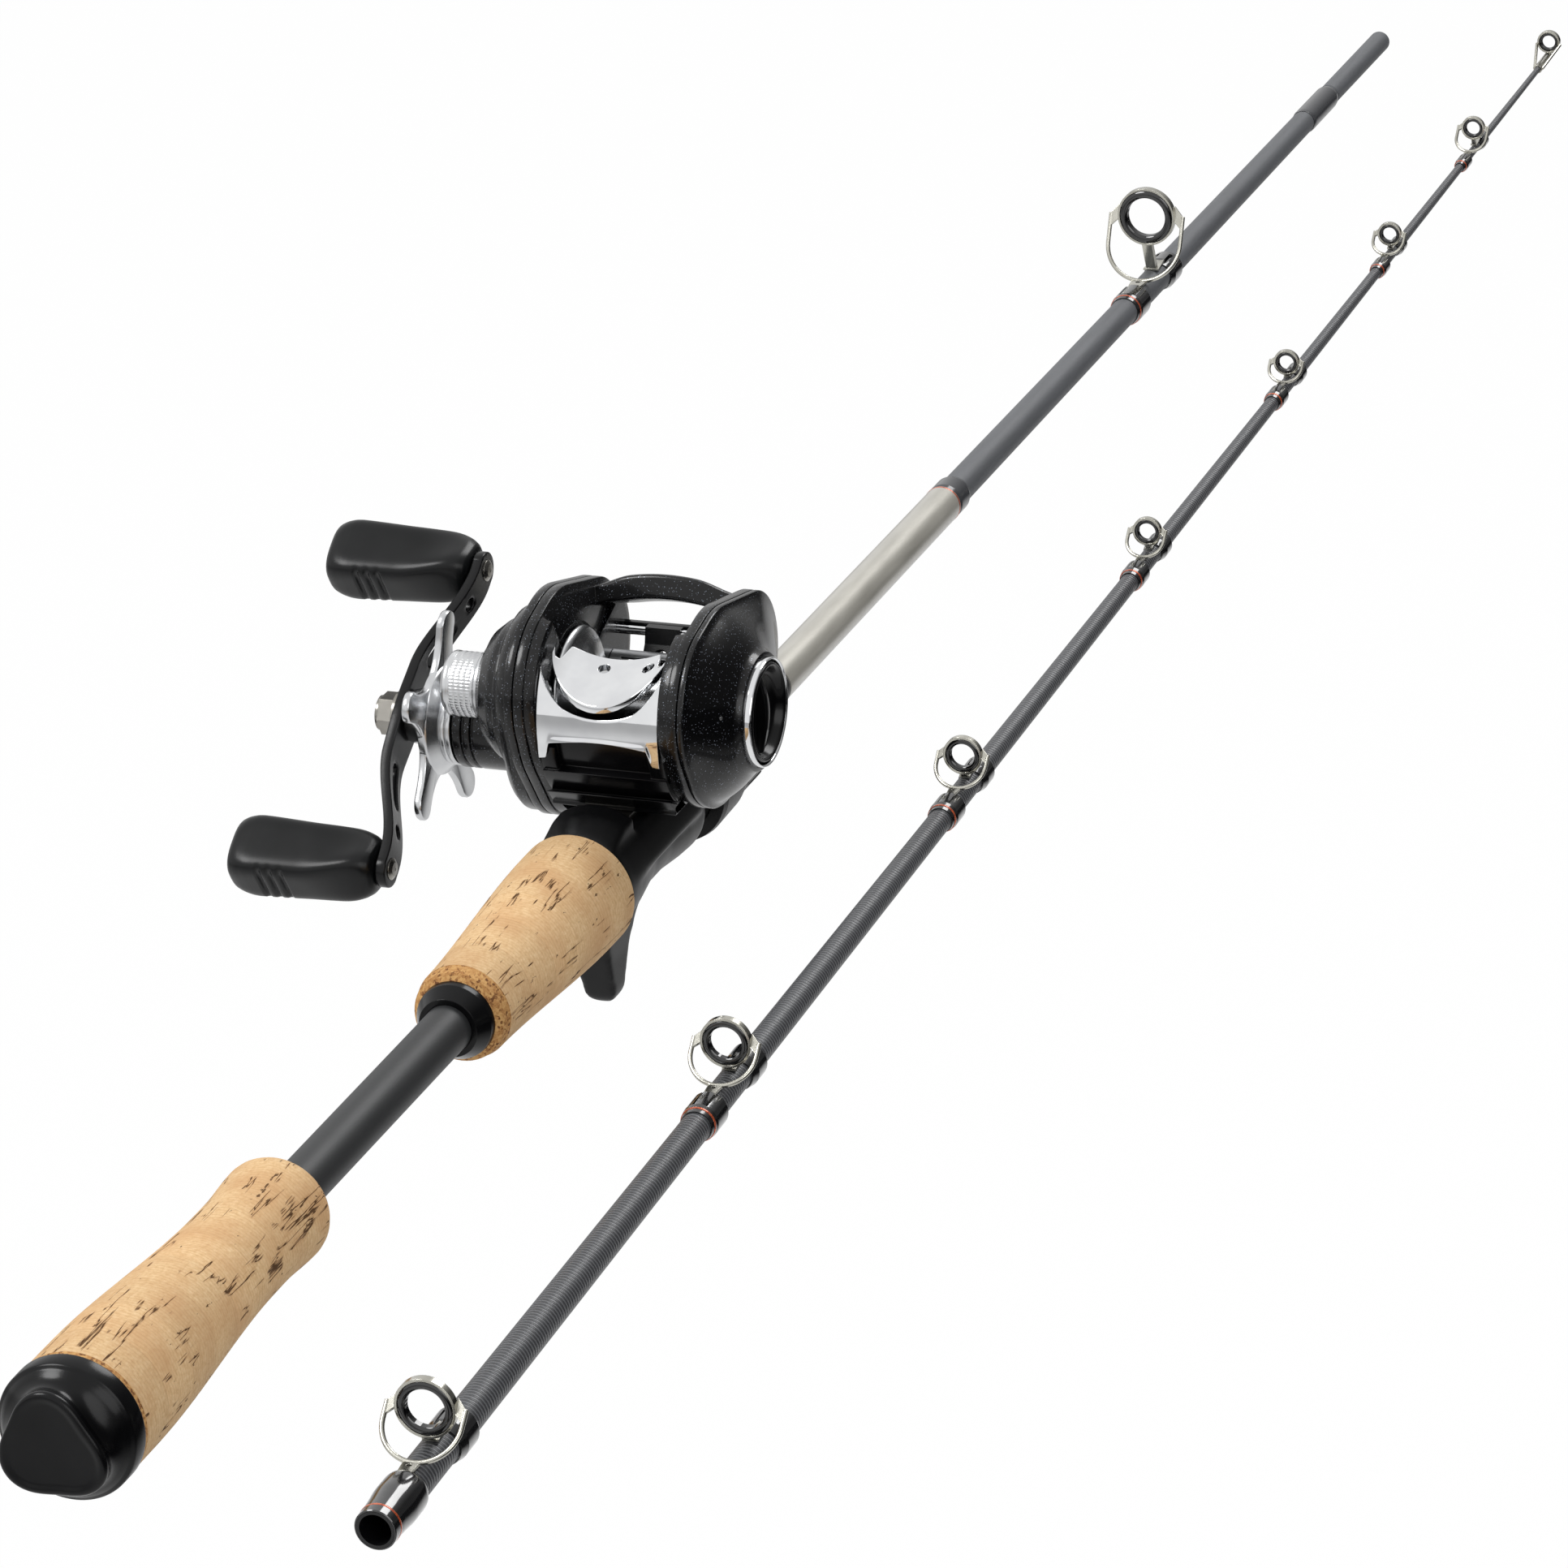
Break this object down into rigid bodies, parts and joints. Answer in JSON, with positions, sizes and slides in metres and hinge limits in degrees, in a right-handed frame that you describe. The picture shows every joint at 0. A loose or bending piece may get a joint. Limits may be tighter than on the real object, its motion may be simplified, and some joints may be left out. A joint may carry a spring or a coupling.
{
  "type": "casting rod with baitcasting reel",
  "caption": "Two-piece casting rod with cork grips and ring guides, carrying a low-profile baitcasting reel with a double-knob crank, star drag and sliding line guide.",
  "frame": {"origin": "on the rod axis, in the middle of the bare stretch between the two cork grips", "axes": "+X along the butt section towards the tip, +Z towards the reel, +Y towards the crank handle"},
  "size_m": [0.9409, 0.1604, 0.0874],
  "materials": {
    "cork": "fine natural cork",
    "composition_cork": "burnt and rubberised cork rings",
    "blank": "matte graphite with fine tape ridges",
    "sleeve_black": "satin black",
    "cap_black": "moulded gloss black",
    "seat_black": "soft black moulding",
    "pearl_sleeve": "brushed silver band",
    "wrap_black": "thread under clear lacquer",
    "wrap_clear": "clear lacquer",
    "guide_steel": "polished stainless",
    "ceramic": "polished dark ceramic",
    "reel_black": "flake black lacquer",
    "frame_silver": "satin silver",
    "chrome": "bright plated",
    "spool_silver": "anodised silver",
    "steel": "turned steel",
    "brass": "cut brass",
    "magnet": "sintered",
    "drag_fibre": "woven fibre washer",
    "knob_black": "soft matte moulding",
    "arm_black": "black anodised"
  },
  "bodies": {
    "rod_and_reel": {"butt_cap": "cap_black", "cork_rings": "composition_cork", "rear_grip": "cork", "handle_sleeve": "sleeve_black", "butt_blank": "blank", "winding_check": "sleeve_black", "fore_grip": "cork", "reel_seat": "seat_black", "silver_sleeve": "pearl_sleeve", "clear_wraps": "wrap_clear", "stripper_frame": "guide_steel", "stripper_ring": "ceramic", "stripper_wraps": "wrap_black", "spigot": "blank", "reel_frame": "reel_black", "reel_foot": "steel", "gear_cover": "reel_black", "palm_cover": "reel_black", "dial_ring": "chrome", "magnet_ring": "magnet", "rear_cover": "chrome", "spool_bearings": "steel", "roller_clutch": "steel", "guide_bar": "chrome", "worm_guard": "frame_silver"},
    "handle": {"drive_shaft": "steel", "handle_arm": "arm_black", "handle_nut": "steel", "knob_screws": "steel", "drive_gear": "brass", "idler_gear": "steel", "drag_washers": "drag_fibre"},
    "star_drag": {"star_drag": "chrome"},
    "knob_upper": {"knob_upper": "knob_black"},
    "knob_lower": {"knob_lower": "knob_black"},
    "spool": {"spool": "spool_silver", "spool_shaft": "steel"},
    "pinion": {"pinion": "brass"},
    "worm_shaft": {"worm_shaft": "steel"},
    "line_guide": {"line_guide": "cap_black", "line_guide_eye": "ceramic"},
    "brake_dial": {"brake_dial": "cap_black"},
    "thumb_bar": {"thumb_bar": "chrome"},
    "clutch_yoke": {"clutch_yoke": "brass"},
    "tension_cap": {"tension_cap": "spool_silver"},
    "seat_hood": {"seat_hood": "seat_black"},
    "lock_nut": {"lock_nut": "seat_black"},
    "tip_section": {"tip_blank": "blank", "ferrule_wrap": "wrap_black", "guide_frame_1": "guide_steel", "guide_frame_2": "guide_steel", "guide_frame_3": "guide_steel", "guide_frame_4": "guide_steel", "guide_frame_5": "guide_steel", "guide_frame_6": "guide_steel", "guide_frame_7": "guide_steel", "tip_top_frame": "guide_steel", "tip_guide_rings": "ceramic", "tip_guide_wraps": "wrap_black"}
  },
  "joints": [
    {"name": "handle_turn", "type": "hinge", "parent": "rod_and_reel", "child": "handle", "pos_m": [0.16, 0, 0.0185], "axis": [0, 1, 0], "continuous": true},
    {"name": "star_turn", "type": "hinge", "parent": "handle", "child": "star_drag", "pos_m": [0.16, 0, 0.0185], "axis": [0, 1, 0], "range_deg": [-360, 360]},
    {"name": "upper_knob_spin", "type": "hinge", "parent": "handle", "child": "knob_upper", "pos_m": [0.19215, 0, 0.04229], "axis": [0, 1, 0], "continuous": true},
    {"name": "lower_knob_spin", "type": "hinge", "parent": "handle", "child": "knob_lower", "pos_m": [0.12785, 0, -0.00529], "axis": [0, 1, 0], "continuous": true},
    {"name": "spool_spin", "type": "hinge", "parent": "rod_and_reel", "child": "spool", "pos_m": [0.151, 0, 0.0313], "axis": [0, 1, 0], "continuous": true},
    {"name": "worm_turn", "type": "hinge", "parent": "rod_and_reel", "child": "worm_shaft", "pos_m": [0.1755, 0, 0.0278], "axis": [0, 1, 0], "continuous": true},
    {"name": "line_guide_slide", "type": "slide", "parent": "rod_and_reel", "child": "line_guide", "axis": [0, 1, 0], "range_m": [-0.0125, 0.0055]},
    {"name": "thumb_press", "type": "slide", "parent": "rod_and_reel", "child": "thumb_bar", "axis": [-0.6884, 0, -0.7254], "range_m": [0, 0.003], "stiffness_N_per_m": 400, "springref_m": -0.002},
    {"name": "pinion_slide", "type": "slide", "parent": "spool", "child": "pinion", "axis": [0, 1, 0], "range_m": [0, 0.0012]},
    {"name": "yoke_lift", "type": "slide", "parent": "rod_and_reel", "child": "clutch_yoke", "axis": [0, 1, 0], "range_m": [0, 0.0012]},
    {"name": "brake_turn", "type": "hinge", "parent": "rod_and_reel", "child": "brake_dial", "pos_m": [0.151, 0, 0.0313], "axis": [0, 1, 0], "range_deg": [0, 270]},
    {"name": "tension_turn", "type": "hinge", "parent": "rod_and_reel", "child": "tension_cap", "pos_m": [0.151, 0, 0.0313], "axis": [0, 1, 0], "range_deg": [-180, 180]},
    {"name": "hood_slide", "type": "slide", "parent": "rod_and_reel", "child": "seat_hood", "axis": [1, 0, 0], "range_m": [0, 0.009]},
    {"name": "nut_turn", "type": "hinge", "parent": "seat_hood", "child": "lock_nut", "pos_m": [0.2, 0, 0], "axis": [1, 0, 0], "range_deg": [0, 1620]},
    {"name": "tip_section_part", "type": "slide", "parent": "rod_and_reel", "child": "tip_section", "axis": [0.9999, 0.0115, 0.0089], "range_m": [0, 0.06]}
  ],
  "couplings": [
    {"joint": "spool_spin", "follows": "handle_turn", "ratio": -5},
    {"joint": "worm_turn", "follows": "handle_turn", "ratio": -2.2857},
    {"joint": "pinion_slide", "follows": "thumb_press", "ratio": 0.4},
    {"joint": "yoke_lift", "follows": "thumb_press", "ratio": 0.4},
    {"joint": "nut_turn", "follows": "hood_slide", "rad_per_m": 3141.6}
  ]
}
